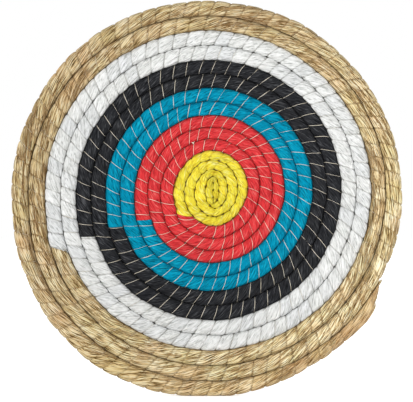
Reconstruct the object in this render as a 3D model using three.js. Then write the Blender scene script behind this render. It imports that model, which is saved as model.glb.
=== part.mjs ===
// Archery target boss: one straw rope wound flat, five cloth wraps over its inner turns,
// and the stitching thread that lies in the grooves between the turns.
// Millimetres, +Z up. The face looks toward -Y and the backs of all turns lie in one plane.
import * as THREE from 'three';

// Width of one turn of rope across the face, its cloth included
const ropeTip = 6;
const yellowRope = 13.8;
const redRope = 16.2;
const blueRope = 18;
const blackRope = 18.5;
const whiteRope = 18.9;
const strawRope = 19.6;
const ropeTail = 9;

// Depth of the rope from face to back, and the flat that its face and back keep
const ropeDepthShare = 1.3;
const flatShare = 0.6;

// The cloth and the thread
const clothWall = 0.9;
const threadRadius = 0.6;

// Clearances between pieces that touch
const turnClearance = 0.8;
const clothClearance = 0.3;
const buttClearance = 0.3;
const threadClearance = 0.3;

// The eye, where the rope doubles back on itself round a short slit
const slitHalfWidth = 0.8;
const eyeStretch = 12;
const eyeFadePerTurn = 0.5;

// How far the turns drift off the eye and press down flatter as they grow, as shares of their radius
const driftAcrossShare = -0.03;
const driftUpShare = -0.014;
const flatterShare = 0.012;

// Turns of each kind of rope from the eye outward, and the angle where the rope starts
const startAngle = -43;
const easeTurns = 0.2;
const tipTurns = 1.6;
const yellowTurns = 3.73;
const redTurns = 2.95;
const blueTurns = 2;
const blackTurns = 2;
const whiteTurns = 2;
const strawTurns = 2.32;
const innerThreadTurns = 4.41;
const tailShareOfChord = 0.36;

// How finely the winding is cut
const ringsPerTurn = 22;
const threadSides = 4;
const samplesPerChord = 4;

const stretches = [
  { name: 'yellow_wrap', turns: yellowTurns, width: yellowRope, color: 0xf2dd33 },
  { name: 'red_wrap', turns: redTurns, width: redRope, color: 0xe23a3e },
  { name: 'blue_wrap', turns: blueTurns, width: blueRope, color: 0x1493b8 },
  { name: 'black_wrap', turns: blackTurns, width: blackRope, color: 0x2c2b2e },
  { name: 'white_wrap', turns: whiteTurns, width: whiteRope, color: 0xe6e6e8 },
  { name: 'straw_rope', turns: strawTurns, width: strawRope, color: 0xc2a56f },
];

// Each stretch runs between two numbered rings of the winding
let ringCount = 0;
for (const stretch of stretches) {
  stretch.firstRing = ringCount;
  ringCount += Math.round(stretch.turns * ringsPerTurn);
  stretch.lastRing = ringCount;
}
const wraps = stretches.slice(0, -1);
const bareStraw = stretches[stretches.length - 1];

function fullWidth(ring) {
  const stretch = stretches.find(({ lastRing }) => ring < lastRing) ?? bareStraw;
  return stretch.width;
}

// Width that the rope takes up at a ring, thin at its tip; ahead of the tip the next turn eases over it
function ropeWidth(ring) {
  const turn = ring / ringsPerTurn;
  if (turn < 0) return ropeTip * Math.max(1 + turn / easeTurns, 0);
  const grown = Math.min(turn / tipTurns, 1);
  return ropeTip + (fullWidth(ring) - ropeTip) * grown;
}

// The outer edge of a turn: the rope widths under it added up, stretched upright near the eye
function seamPoint(ring) {
  let radius = slitHalfWidth;
  for (let under = ring; under > -ringsPerTurn; under -= ringsPerTurn) radius += ropeWidth(under);
  const turn = Math.max(ring / ringsPerTurn, 0);
  const stretch = eyeStretch / (1 + eyeFadePerTurn * turn) - radius * flatterShare;
  const angle = THREE.MathUtils.degToRad(startAngle + (360 * ring) / ringsPerTurn);
  const across = radius * (Math.cos(angle) + driftAcrossShare);
  const up = (radius + stretch) * Math.sin(angle) + radius * driftUpShare;
  return new THREE.Vector3(across, 0, up);
}

// Where the rope lies at a ring, between the seam under it and its own outer seam
function ropeSection(ring) {
  const inner = seamPoint(ring - ringsPerTurn);
  const outer = seamPoint(ring);
  const half = (outer.distanceTo(inner) - turnClearance) / 2;
  const depth = fullWidth(ring) * ropeDepthShare;
  return {
    centre: inner.clone().add(outer).divideScalar(2),
    outward: outer.clone().sub(inner).normalize(),
    half,
    depth,
    slope: (2 * half * (1 - flatShare)) / depth,
  };
}

// Puts an outline, across and toward the face, at its place in the winding
function placeRing(centre, outward, outline) {
  const points = outline.map(({ x, y }) => centre.clone().addScaledVector(outward, x).setY(-y));
  return { outline, points };
}

// The rope's six-sided outside
function outsideRing(ring) {
  const { centre, outward, half, depth } = ropeSection(ring);
  const flat = half * flatShare;
  return placeRing(centre, outward, [
    new THREE.Vector2(flat, depth),
    new THREE.Vector2(half, depth / 2),
    new THREE.Vector2(flat, 0),
    new THREE.Vector2(-flat, 0),
    new THREE.Vector2(-half, depth / 2),
    new THREE.Vector2(-flat, depth),
  ]);
}

// The corners of an outside ring that face the turn beyond it and the turn under it
const cornerBeyond = ({ points }) => points[1];
const cornerUnder = ({ points }) => points[4];

// The plain four-sided inside that the cloth hides, set in from the outside
function insideRing(ring, inset) {
  const { centre, outward, half, depth, slope } = ropeSection(ring);
  const flat = half * flatShare + inset * (slope - Math.hypot(1, slope));
  return placeRing(centre, outward, [
    new THREE.Vector2(flat, depth - inset),
    new THREE.Vector2(flat, inset),
    new THREE.Vector2(-flat, inset),
    new THREE.Vector2(-flat, depth - inset),
  ]);
}

function ringRun(first, last, makeRing) {
  const rings = [];
  for (let ring = first; ring <= last; ring += 1) rings.push(makeRing(ring));
  return rings;
}

// A ring moved a share of the way to another, corner by corner
function ringToward(ring, other, share) {
  const points = ring.points.map((point, side) => point.clone().lerp(other.points[side], share));
  return { outline: ring.outline, points };
}

// Draws the last ring of a run back along its chord, to leave a clearance at the butt
function drawnBack(rings) {
  const last = rings[rings.length - 1];
  const before = rings[rings.length - 2];
  const chord = last.points[0].distanceTo(before.points[0]);
  return [...rings.slice(0, -1), ringToward(last, before, buttClearance / chord)];
}

// Collects the walls and ends of one closed solid
class SweptSolid {
  points = [];

  faces = [];

  addRing({ outline, points }) {
    const start = this.points.length;
    this.points.push(...points);
    return { outline, corners: points.map((point, side) => start + side) };
  }

  addTriangle(a, b, c, turned) {
    if (turned) this.faces.push(a, c, b);
    else this.faces.push(a, b, c);
  }

  // Walls along a run of rings, turned to face inward in a bore
  addWalls(rings, isBore) {
    const placed = rings.map((ring) => this.addRing(ring));
    for (let i = 1; i < placed.length; i += 1) {
      const from = placed[i - 1].corners;
      const to = placed[i].corners;
      from.forEach((corner, side) => {
        const next = (side + 1) % from.length;
        this.addTriangle(corner, from[next], to[next], isBore);
        this.addTriangle(corner, to[next], to[side], isBore);
      });
    }
    return { first: placed[0], last: placed[placed.length - 1] };
  }

  // A flat end between a ring and the holes in it
  addEnd(ring, holes, facesForward) {
    const corners = [ring, ...holes].flatMap((loop) => loop.corners);
    const outlines = holes.map((hole) => hole.outline);
    for (const triangle of THREE.ShapeUtils.triangulateShape(ring.outline, outlines)) {
      const [a, b, c] = triangle.map((corner) => corners[corner]);
      this.addTriangle(a, b, c, facesForward);
    }
  }

  toGeometry() {
    const geometry = new THREE.BufferGeometry().setFromPoints(this.points);
    geometry.setIndex(this.faces);
    geometry.computeVertexNormals();
    return geometry;
  }
}

// Cloth wound round one stretch of the rope, open at both ends
function wrapGeometry({ firstRing, lastRing }) {
  const outside = ringRun(firstRing, lastRing, outsideRing);
  const inside = ringRun(firstRing, lastRing, (ring) => insideRing(ring, clothWall));
  const solid = new SweptSolid();
  const wall = solid.addWalls(drawnBack(outside), false);
  const bore = solid.addWalls(drawnBack(inside), true);
  solid.addEnd(wall.first, [bore.first], false);
  solid.addEnd(wall.last, [bore.last], true);
  return solid.toGeometry();
}

// The rope's end, a little way along the next chord and thinned toward the turn under it
function tailRing() {
  const end = outsideRing(ringCount);
  const tail = ringToward(end, outsideRing(ringCount + 1), tailShareOfChord);
  const under = cornerUnder(tail);
  const thinned = (point) => under.clone().lerp(point, ropeTail / strawRope).setY(point.y);
  return { outline: end.outline, points: tail.points.map(thinned) };
}

// The one straw rope: a core inside the cloth, and past a shoulder its bare turns at full size
function strawRopeGeometry() {
  const inset = clothWall + clothClearance;
  const core = ringRun(0, bareStraw.firstRing, (ring) => insideRing(ring, inset));
  const bare = ringRun(bareStraw.firstRing, bareStraw.lastRing, outsideRing);
  const solid = new SweptSolid();
  const coreWall = solid.addWalls(core, false);
  const bareWall = solid.addWalls([...bare, tailRing()], false);
  solid.addEnd(coreWall.first, [], false);
  solid.addEnd(bareWall.first, [coreWall.last], false);
  solid.addEnd(bareWall.last, [], true);
  return solid.toGeometry();
}

// Thread over a seam, as deep between the two turns as their sloping sides let it sit
function threadRing(ring) {
  const inner = ropeSection(ring);
  const outer = ropeSection(ring + ringsPerTurn);
  const steepest = Math.max(inner.slope, outer.slope);
  const opening = 2 * (threadRadius + threadClearance) * Math.hypot(1, steepest);
  const sides = inner.slope * (inner.depth / 2) + outer.slope * (outer.depth / 2);
  const high = (opening - turnClearance + sides) / (inner.slope + outer.slope);
  const outerRoom = outer.slope * (high - outer.depth / 2);
  const innerRoom = inner.slope * (high - inner.depth / 2);
  const outline = [];
  for (let side = 0; side < threadSides; side += 1) {
    const angle = (2 * Math.PI * side) / threadSides;
    const across = (outerRoom - innerRoom) / 2 + threadRadius * Math.sin(angle);
    outline.push(new THREE.Vector2(across, high + threadRadius * Math.cos(angle)));
  }
  return placeRing(seamPoint(ring), outer.outward, outline);
}

function threadGeometry(first, last) {
  const rings = ringRun(first, last, threadRing);
  const solid = new SweptSolid();
  const wall = solid.addWalls(drawnBack(rings), false);
  solid.addEnd(wall.first, [], false);
  solid.addEnd(wall.last, [], true);
  return solid.toGeometry();
}

// Least distance between turns of the rope, measured on points along the edges that face them
function leastGapToItself(first, last) {
  const rings = ringRun(first, last, outsideRing);
  const samples = [];
  const chords = [];
  for (let ring = 1; ring < rings.length; ring += 1) {
    for (const cornerOf of [cornerBeyond, cornerUnder]) {
      const chord = new THREE.Line3(cornerOf(rings[ring - 1]), cornerOf(rings[ring]));
      chords.push({ ring, chord });
      for (let step = 0; step < samplesPerChord; step += 1) {
        samples.push({ ring, point: chord.at(step / samplesPerChord, new THREE.Vector3()) });
      }
    }
  }
  const apart = Math.round(ringsPerTurn / 3);
  const nearest = new THREE.Vector3();
  let least = Infinity;
  for (const sample of samples) {
    for (const { ring, chord } of chords) {
      if (Math.abs(ring - sample.ring) > apart) {
        chord.closestPointToPoint(sample.point, true, nearest);
        least = Math.min(least, nearest.distanceTo(sample.point));
      }
    }
  }
  return least;
}

function printLeastGap(name, first, last) {
  console.log(`${name}: least gap to itself ${leastGapToItself(first, last).toFixed(2)} mm`);
}

function namedMesh(name, geometry, color, roughness) {
  const material = new THREE.MeshStandardMaterial({ color, roughness, metalness: 0 });
  const mesh = new THREE.Mesh(geometry, material);
  mesh.name = name;
  return mesh;
}

const winding = new THREE.Group();
for (const wrap of wraps) {
  winding.add(namedMesh(wrap.name, wrapGeometry(wrap), wrap.color, 0.85));
  printLeastGap(wrap.name, wrap.firstRing, wrap.lastRing);
}
winding.add(namedMesh(bareStraw.name, strawRopeGeometry(), bareStraw.color, 0.8));
printLeastGap('whole rope, its cloth included', 0, ringCount);

const threadColor = 0xd9c9a3;
const threadJoin = Math.round(innerThreadTurns * ringsPerTurn);
const threadEnd = ringCount - ringsPerTurn;
const innerThread = threadGeometry(0, threadJoin);
const outerThread = threadGeometry(threadJoin, threadEnd);
winding.add(namedMesh('inner_stitching_thread', innerThread, threadColor, 0.7));
winding.add(namedMesh('outer_stitching_thread', outerThread, threadColor, 0.7));

// Stands the boss on its rim, with its middle over the origin
const bounds = new THREE.Box3().setFromObject(winding);
const middle = bounds.getCenter(new THREE.Vector3());
winding.position.set(-middle.x, -middle.y, -bounds.min.z);

const group = new THREE.Group();
group.add(winding);

export default group;
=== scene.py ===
import math
import bmesh
import bpy
import numpy as np
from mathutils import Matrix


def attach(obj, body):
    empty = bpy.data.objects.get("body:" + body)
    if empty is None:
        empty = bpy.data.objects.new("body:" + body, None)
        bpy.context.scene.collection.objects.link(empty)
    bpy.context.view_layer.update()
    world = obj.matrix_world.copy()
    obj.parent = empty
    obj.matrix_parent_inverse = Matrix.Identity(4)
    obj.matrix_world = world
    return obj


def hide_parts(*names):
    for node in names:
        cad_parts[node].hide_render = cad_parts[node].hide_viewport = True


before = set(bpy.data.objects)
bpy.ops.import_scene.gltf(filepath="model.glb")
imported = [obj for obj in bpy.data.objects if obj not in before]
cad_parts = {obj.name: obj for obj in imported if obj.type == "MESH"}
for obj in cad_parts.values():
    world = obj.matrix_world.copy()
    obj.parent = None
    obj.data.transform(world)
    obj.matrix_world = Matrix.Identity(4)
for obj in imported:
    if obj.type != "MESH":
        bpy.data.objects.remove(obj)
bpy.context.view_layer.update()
print("frame loaded")

# Camera: square on to the face through a long lens, as the photo was taken
view = {
    "aimX": 0.00125,
    "aimZ": 0.2471,
    "distance": 3.0,
    "frameWidth": 0.5271,  # what the frame takes in at the boss
    "sensor": 36.0,
}
cameraData = bpy.data.cameras.new("faceCamera")
cameraData.sensor_fit = "HORIZONTAL"
cameraData.sensor_width = view["sensor"]
cameraData.lens = view["sensor"] * view["distance"] / view["frameWidth"]
camera = bpy.data.objects.new("faceCamera", cameraData)
camera.location = (view["aimX"], -view["distance"], view["aimZ"])
camera.rotation_euler = (math.radians(90), 0, 0)
bpy.context.scene.collection.objects.link(camera)
bpy.context.scene.camera = camera
bpy.context.scene.view_settings.view_transform = "Standard"
print("camera placed")

# The winding, in metres and turns: one straw rope from the eye outward, as in the frame
winding = {
    "eyeX": 0.0098,
    "backY": 0.01274,  # the plane that all the backs lie in
    "eyeZ": 0.2601,
    "tip": 0.006,
    "ropes": [0.0138, 0.0162, 0.018, 0.0185, 0.0189, 0.0196],
    "changes": [82, 147, 191, 235, 279, 330],  # last rings of yellow, red, blue, black, white, straw
    "ringsPerTurn": 22,
    "threadJoin": 97,
    "depthShare": 1.3,
    "slitHalf": 0.0008,
    "eyeStretch": 0.012,
    "eyeFade": 0.5,
    "driftX": -0.03,
    "driftZ": -0.014,
    "flatter": 0.012,
    "startAngle": -43,
    "rimTurn": 14.042,  # from here on no turn lies outside this one
    "leastPitch": 0.00001,
    "easeTurns": 0.2,
    "tipTurns": 1.6,
    "turnsUnder": 16,
    "wander": 0.0006,  # a wound turn isn't true: its edge strays this far in and out
    "wanderLong": 0.024,
    "wanderOver": 2,  # turns over which it sets in
    # where straw turns are wound fatter or thinner: turn, change of width and how many turns it spans
    "uneven": [(14.09, 0.0028, 0.06), (14.19, 0.0016, 0.03), (14.285, 0.0020, 0.035),
               (14.79, 0.0036, 0.06), (14.97, -0.0048, 0.055)],
    # how the turns stray from round: at these turns, in metres, each way
    "strayTurns": [0.5, 3, 8, 10.3, 12.3, 14.3],
    "strayOut": [0, -0.0012, -0.0011, -0.0010, -0.0004, 0.0003],
    "strayRight": [0, 0.0001, 0.0001, 0.0010, 0.0017, 0],
    "strayUp": [0, 0.0001, -0.0002, -0.0007, -0.0007, -0.0008],
    "strayOval": [0, 0.0017, 0.0015, 0.0015, 0.0011, 0.0004],
    "ovalAngle": 54,
    "strayThree": [0, 0.0003, 0.0007, 0.0006, 0.0005, 0.0005],
    "threeAngle": 5,
}


def smoothStep(share):
    share = np.clip(share, 0, 1)
    return share * share * (3 - 2 * share)


# Soft random heights from -1 to 1, one unit across
def softNoise(u, v, seed):
    table = np.random.default_rng(seed).uniform(-1, 1, (256, 256))
    iu, iv = np.floor(u).astype(int), np.floor(v).astype(int)
    fu, fv = smoothStep(u - iu), smoothStep(v - iv)
    low = table[iu & 255, iv & 255] * (1 - fu) + table[(iu + 1) & 255, iv & 255] * fu
    high = table[iu & 255, (iv + 1) & 255] * (1 - fu) + table[(iu + 1) & 255, (iv + 1) & 255] * fu
    return low * (1 - fv) + high * fv


# Full width of the rope, cloth included, which changes over the last ring of each colour
def fullWidth(turn):
    ring = turn * winding["ringsPerTurn"]
    ropes = winding["ropes"]
    width = np.full_like(turn, ropes[0])
    for change, before, after in zip(winding["changes"], ropes, ropes[1:]):
        width += (after - before) * smoothStep(ring - change + 1)
    return width


def ropeWidth(turn):
    ahead = winding["tip"] * np.clip(1 + turn / winding["easeTurns"], 0, None)
    grown = np.clip(turn / winding["tipTurns"], 0, 1)
    along = winding["tip"] + (fullWidth(turn) - winding["tip"]) * grown
    for place, change, span in winding["uneven"]:
        along = along + change * np.exp(-(((turn - place) / span) ** 2))
    return np.where(turn < 0, ahead, along)


# How far out a turn's edge lies: the widths of all the turns under it, and how it strays
def edgeRadius(turn):
    radius = np.full_like(turn, winding["slitHalf"])
    for under in range(winding["turnsUnder"]):
        radius += ropeWidth(turn - under)
    full = np.clip(turn, 0, None)
    place = math.pi * full * full * winding["ropes"][2] / winding["wanderLong"]
    wander = winding["wander"] * np.clip(full / winding["wanderOver"], 0, 1)
    radius += wander * softNoise(place, 0 * place, 3)
    angle = np.radians(winding["startAngle"]) + 2 * np.pi * turn
    ways = {
        "strayOut": 1,
        "strayRight": np.cos(angle),
        "strayUp": np.sin(angle),
        "strayOval": np.cos(2 * (angle - math.radians(winding["ovalAngle"]))),
        "strayThree": np.cos(3 * (angle - math.radians(winding["threeAngle"]))),
    }
    for way, share in ways.items():
        radius += np.interp(turn, winding["strayTurns"], winding[way]) * share
    return radius


# The edge at small steps of a turn, from before the tip to beyond the tail
edgeTurns = np.linspace(-1.5, 15.5, 17001)
edgeRadii = edgeRadius(edgeTurns)
edgeWidths = fullWidth(edgeTurns)


# The outer edge of a turn, which is where the next one lies against it; before the start of the
# rope the two strands of the eye press together
def seamPoint(turn):
    radius = np.interp(turn, edgeTurns, edgeRadii)
    fade = 1 + winding["eyeFade"] * np.clip(turn, 0, None)
    stretch = winding["eyeStretch"] / fade - radius * winding["flatter"]
    angle = np.radians(winding["startAngle"]) + 2 * np.pi * turn
    shut = np.clip(1 + turn / winding["easeTurns"], 0, 1)
    x = shut * radius * (np.cos(angle) + winding["driftX"])
    z = (radius + stretch) * np.sin(angle) + radius * winding["driftZ"]
    return np.stack([x, z], -1)


# Where the rope lies at a turn: its middle, the way outward, half its pitch and its depth
def ropeSection(turn):
    inner = seamPoint(turn - 1)
    outer = seamPoint(turn)
    pitch = np.maximum(np.linalg.norm(outer - inner, axis=-1), winding["leastPitch"])
    outward = (outer - inner) / pitch[..., None]
    depth = np.interp(turn, edgeTurns, edgeWidths) * winding["depthShare"]
    return (inner + outer) / 2, outward, pitch / 2, depth


# How far along the rope each turn lies
turnTable = np.linspace(-0.25, 15.15, 15400)
middleTable = ropeSection(turnTable)[0]
stepTable = np.linalg.norm(np.diff(middleTable, axis=0), axis=1)
arcTable = np.concatenate([[0], np.cumsum(stepTable)])


def turnAt(arc):
    return np.interp(arc, arcTable, turnTable)


def arcAt(turn):
    return float(np.interp(turn, turnTable, arcTable))


def arcAtRing(ring):
    return arcAt(ring / winding["ringsPerTurn"])


# The stitches: one slanted thread across each turn every so often, from the eye to the tail
stitching = {
    "pitchTurns": [0, 3, 4.2, 6.2, 8.2, 9.2, 11.2, 12.2, 15],
    "pitches": [0.0100, 0.0125, 0.0139, 0.0141, 0.0158, 0.0166, 0.0179, 0.0186, 0.0188],
    "uneven": 0.08,
    "slant": 0.445,  # tangent of the 24 degrees that a stitch leans off the radius
    "slantUneven": 0.13,
    "slantOver": 0.03,  # it sets in over the first metres of rope after the eye
    "fromTurn": 0.02,
    "thread": 0.00031,
    "endReach": 0.010,  # a colour's slant reaches this far along the rope to both sides of its end
    "placeSeed": 11,
    "blockSeed": 5,
    "blockSpan": 200,
    "slantSeed": 6,
}


def stitchPlaces():
    random = np.random.default_rng(stitching["placeSeed"])
    arc = arcAt(stitching["fromTurn"])
    last = arcAtRing(winding["changes"][-1])
    places = []
    while arc < last:
        pitch = float(np.interp(turnAt(arc), stitching["pitchTurns"], stitching["pitches"]))
        places.append(arc + pitch * stitching["uneven"] * random.uniform(-1, 1))
        arc += pitch
    return np.array(places)


# Each block between two stitches has a number that shifts its patterns, and each stitch its own slant
stitchArcs = stitchPlaces()
blockRandom = np.random.default_rng(stitching["blockSeed"])
stitchShift = blockRandom.uniform(0, stitching["blockSpan"], len(stitchArcs) + 1)
slantRandom = np.random.default_rng(stitching["slantSeed"])
slantShift = slantRandom.uniform(-1, 1, len(stitchArcs)) * stitching["slantUneven"]

# How much sooner each colour ends than its last ring, in metres, and how much more obliquely than a stitch
colourEnds = {
    "yellow": {"early": 0.0, "oblique": 0.62},
    "red": {"early": 0.0, "oblique": -0.15},
    "blue": {"early": 0.0048, "oblique": -0.1},
    "black": {"early": 0.0072, "oblique": -0.05},
    "white": {"early": 0.0052, "oblique": 0.1},
}
endArcs = {key: arcAtRing(ring) - end["early"]
           for (key, end), ring in zip(colourEnds.items(), winding["changes"])}


def slantAt(arc):
    slant = stitching["slant"] + np.interp(arc, stitchArcs, slantShift)
    slant = slant * smoothStep((arc - arcAt(0)) / stitching["slantOver"])
    for key, end in colourEnds.items():
        slant = slant + end["oblique"] * np.exp(-(((arc - endArcs[key]) / stitching["endReach"]) ** 2))
    return slant


# How each stretch of rope swells and creases, in metres, and how square its section is
ropeLooks = {
    "yellow": {"round": 2.5, "crease": 0.0009, "puff": 0.0006, "pinch": 0.0011,
               "fold": 0.0012, "foldWide": 0.0034},
    "red": {"round": 2.5, "crease": 0.0008, "puff": 0.0005, "pinch": 0.0006,
            "fold": 0.0009, "foldWide": 0.0030},
    "blue": {"round": 2.6, "crease": 0.0008, "puff": 0.0005, "pinch": 0.0005,
             "fold": 0.0008, "foldWide": 0.0030},
    "black": {"round": 2.5, "crease": 0.0008, "puff": 0.0005, "pinch": 0.0006,
              "fold": 0.0009, "foldWide": 0.0030},
    "white": {"round": 3.3, "crease": 0.0010, "puff": 0.0004, "pinch": 0.0010,
              "fold": 0.0010, "foldWide": 0.0028},
    "straw": {"round": 2.6, "crease": 0.0011, "puff": 0.0004, "pinch": 0},
}
skin = {
    "swell": 0.0008,  # a turn is this much wider than its room, and its neighbours press it flat
    "pressGap": 0.00002,
    "eyePress": 0.00016,
    "eyePressTurns": 0.8,
    "pressHigh": 0.5,
    "pressHold": 0.85,
    "leastRoom": 0.3,  # share of its half pitch that a turn keeps at least
    "creaseWide": 0.0009,
    "puffWide": 0.0036,
    "pinchWide": 0.0020,  # beside a stitch the thread pulls the turn in and leaves a pit in the groove
    "pinchFrom": 0.22,  # the pit opens from this height up
    "pinchOver": 0.28,
    "tuckWide": 0.0009,  # a crease is shaded this far from its stitch
    "tuckMiddle": 0.62,  # less over the top of the turn than at its sides
    "tuckUneven": 0.35,
    "tuckUnevenSize": (0.006, 1.7),  # metres along the rope, and waves across it
    "tuckOnStraw": 0.85,
    "foldLean": 0.48,  # the lay of the folds, as a slope against the rope
    "foldTurned": 0.24,  # it is flatter by this much at the upper left, and steeper opposite
    "foldFlattest": math.radians(115),
    "channelWide": 0.0010,
    "channelDeep": 0.0003,
    "seamFade": 0.05,
    "tightTurns": 1.2,  # the turns round the eye bend tightly and take twice the rows
    "rowPitch": 0.0165,
    "rowMargin": 0.001,
    "grooveShare": 0.575,  # the thread between two turns lies at this share of their depth
    "probe": 0.003,  # the way outward is read from a point this far inside the skin
    "floor": -0.001,  # the lowest turn stands on the floor and is pressed flat there
    "strawLean": 0.175,  # the twist of the straw, as a slope against the rope
    "strawTurned": 0.095,  # it is this much steeper above and below the eye, and flatter beside it
    # The groove beside a turn gets painted shade
    "grooveFrom": 0.69,  # the groove beside a turn darkens from this height down
    "grooveOver": 0.26,
    "girthWidth": 0.018,  # width of the turn that patterns are laid out for
}
sectionShares = [0, 0.14, 0.86, 1]  # share of a ring's corners: outer back, front, inner back
sectionAngles = [-math.pi / 2, 0, math.pi, 1.5 * math.pi]


# Points at a spot of the winding, some way outward from it and at a height above the backs
def placePoints(spot, outward, x, height):
    points = np.empty(np.shape(x) + (3,))
    points[..., 0] = winding["eyeX"] + spot[..., 0] + outward[..., 0] * x
    points[..., 1] = winding["backY"] - height
    points[..., 2] = winding["eyeZ"] + spot[..., 1] + outward[..., 1] * x
    return points


# A turn's section is a rounded square: how far across and how high its skin is, from -1 to 1
def sectionShape(share, look):
    angle = np.interp(share, sectionShares, sectionAngles)
    cosine, sine, power = np.cos(angle), np.sin(angle), 2 / look["round"]
    return np.sign(cosine) * np.abs(cosine) ** power, np.sign(sine) * np.abs(sine) ** power


# Distance round the rope for each share of a ring, on a full-sized turn
def girthTable(look):
    share = np.linspace(0, 1, 801)
    across, high = sectionShape(share, look)
    x, y = skin["girthWidth"] / 2 * across, skin["girthWidth"] * winding["depthShare"] / 2 * high
    return share, np.concatenate([[0], np.cumsum(np.hypot(np.diff(x), np.diff(y)))])


def nearestStitch(arc):
    after = np.clip(np.searchsorted(stitchArcs, arc), 1, len(stitchArcs) - 1)
    before = stitchArcs[after - 1]
    return np.minimum(np.abs(arc - before), np.abs(stitchArcs[after] - arc))


# Height of the thread that lies between two turns, above the plane of the backs
def grooveHeight(turn):
    return np.interp(turn, edgeTurns, edgeWidths) * winding["depthShare"] * skin["grooveShare"]


# The pointed start of the rope, and its frayed end, which narrows toward the last rings
ropeEnds = {
    "startTurn": -0.2,
    "startLong": 0.006,
    "startLeast": 0.04,
    "tailRings": [330.3, 330.5, 330.64, 330.8, 330.9],
    "tailWide": [1, 0.88, 0.56, 0.4, 0.24],
    "tailThinner": 0.55,  # share of the depth that goes with the width
}


# How much of its width and depth the rope keeps at its two ends
def endShares(arc, isStraw):
    start = np.clip((arc - arcAt(ropeEnds["startTurn"])) / ropeEnds["startLong"], 0, 1)
    kept = np.sqrt(np.clip(1 - (1 - start) ** 2, ropeEnds["startLeast"], 1))
    wide = np.ones_like(arc)
    if isStraw:
        ring = turnAt(arc) * winding["ringsPerTurn"]
        wide = np.interp(ring, ropeEnds["tailRings"], ropeEnds["tailWide"])
    return kept, wide


# Soft noise whose size is given in metres along and across the fibres
def sizedNoise(along, across, size, seed, shift=0):
    return softNoise(along / size[0] + shift, across / size[1] + shift, seed)


# Long lines that wander where that noise passes through nothing: 1 on a line, 0 off it
def noiseLines(along, across, size, seed, sharp, shift=0):
    return np.clip(1 - np.abs(sizedNoise(along, across, size, seed, shift)), 0, 1) ** sharp


# The lay of the straws and the folds turns round the boss, as in a rope that was wound by hand
layAngles = np.radians(winding["startAngle"]) + 2 * np.pi * turnTable
laySlopes = {
    "straw": skin["strawLean"] - skin["strawTurned"] * np.cos(2 * layAngles),
    "cloth": skin["foldLean"] - skin["foldTurned"] * np.cos(layAngles - skin["foldFlattest"]),
}
layTables = {}
for kind, slopes in laySlopes.items():
    layTables[kind] = np.concatenate([[0], np.cumsum(slopes[1:] * stepTable)])


# Relief of the bare straw and of the cloth, in metres: sizes are along and across the fibres
strawRelief = {
    "wander": 0.004,
    "wanderSize": (0.06, 0.02),
    "strandSize": (0.045, 0.0017),
    "strandHigh": 0.0003,
    "strandSunk": 0.0004,
    "splitSize": (0.09, 0.0070),
    "splitDeep": 0.0018,
    "splitSharp": 12,
    "splitBeside": 0.35,  # splits are deeper beside the eye than above and below it
    "nickSize": (0.03, 0.0024),
    "nickDeep": 0.0005,
    "nickSharp": 9,
    "lumpSize": (0.035, 0.014),
    "lumpHigh": 0.0004,
    "underCloth": 0.0014,  # the straw is pressed in where it comes out of the white cloth
    "underLong": 0.007,
}
clothRelief = {
    "long": 0.016,
    "sharp": 3,
    "fineLong": 0.008,
    "fineShare": 0.5,  # the fine folds are this much narrower than the main ones
    "fineHigh": 0.3,
    "level": 0.35,
    "heldWide": 0.0014,  # beside a stitch the cloth is held flat
    # how much painted shade the hollows of the folds get
    "hollow": 0.3,
}


# Where a point of the skin lies across the straws or the folds, which wind slantwise round the rope
def acrossLay(leaned, around, kind):
    wander = 0
    if kind == "straw":
        wander = strawRelief["wander"] * sizedNoise(leaned, around, strawRelief["wanderSize"], 26)
    return around - np.interp(leaned, arcTable, layTables[kind]) - wander


# Folds of the cloth between stitches, or the strands of bare straw, going inward, and the painted shade that
# the hollows of folds and splits get
def surfaceRelief(arc, leaned, share, near, look, isStraw):
    shares, girth = girthTable(look)
    around = np.interp(share, shares, girth)
    seam = smoothStep(np.minimum(share, 1 - share) / skin["seamFade"])
    if isStraw:
        relief = strawRelief
        lay = acrossLay(leaned, around, "straw")
        strands = sizedNoise(leaned, lay, relief["strandSize"], 21) * relief["strandHigh"]
        splits = relief["splitDeep"] * noiseLines(leaned, lay, relief["splitSize"], 24, relief["splitSharp"])
        beside = relief["splitBeside"]
        splits *= 1 - beside + beside * np.interp(leaned, arcTable, np.cos(2 * layAngles))
        nicks = noiseLines(leaned, lay, relief["nickSize"], 25, relief["nickSharp"]) * relief["nickDeep"]
        lumps = sizedNoise(leaned, around, relief["lumpSize"], 23) * relief["lumpHigh"]
        under = relief["underCloth"] * smoothStep(1 - (arc - endArcs["white"]) / relief["underLong"])
        inward = (strands + relief["strandSunk"] + splits + nicks + lumps) * seam + under
        return inward, np.clip(splits / relief["splitDeep"], 0, 1) * seam
    relief = clothRelief
    block = stitchShift[np.searchsorted(stitchArcs, arc)]
    lay = acrossLay(leaned, around, "cloth")
    folds = noiseLines(leaned, lay, (relief["long"], look["foldWide"]), 31, relief["sharp"], block)
    fineSize = (relief["fineLong"], look["foldWide"] * relief["fineShare"])
    fine = sizedNoise(leaned, lay, fineSize, 32, block)
    held = 1 - np.exp(-((near / relief["heldWide"]) ** 2))
    inward = look["fold"] * (folds - relief["level"] + relief["fineHigh"] * fine) * held * seam
    return inward, folds * held * relief["hollow"]


# The torn edge where the white cloth ends on bare straw
tornEdge = {
    "long": 0.004,
    "deep": 0.0010,
    "waves": 22,  # of the tear round the rope, and of its finer ones
    "fineWaves": 57,
    "fineShare": 0.6,
    "tongueAt": 0.7,  # a tongue of cloth reaches further here
    "tongueWide": 0.035,
    "tongueLong": 0.0042,
}


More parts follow.
